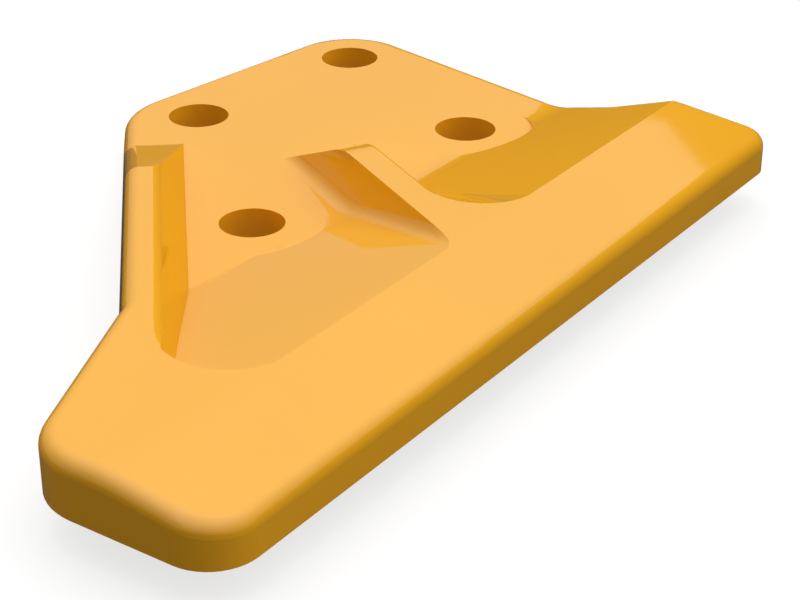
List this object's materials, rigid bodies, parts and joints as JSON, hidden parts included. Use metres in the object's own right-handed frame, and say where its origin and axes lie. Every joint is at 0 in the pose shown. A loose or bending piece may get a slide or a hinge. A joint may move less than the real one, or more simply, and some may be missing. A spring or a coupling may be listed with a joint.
{
  "type": "bucket side cutter",
  "caption": "Cast side cutter for an excavator bucket: a bolt-on plate that steps out to a wide, sloping cutting wing, with ribs running into it.",
  "frame": {"origin": "middle of the bolt hole pattern, on the flat back face that lies against the bucket's side plate", "axes": "+X along the rows of bolt holes, away from the blade's long end; +Y from the cutting edge towards the bolting plate; +Z out of the show face"},
  "size_m": [0.3626, 0.2872, 0.0352],
  "materials": {
    "paint": "glossy yellow-orange paint"
  },
  "bodies": {
    "root": {"side_cutter": "paint"}
  },
  "joints": []
}
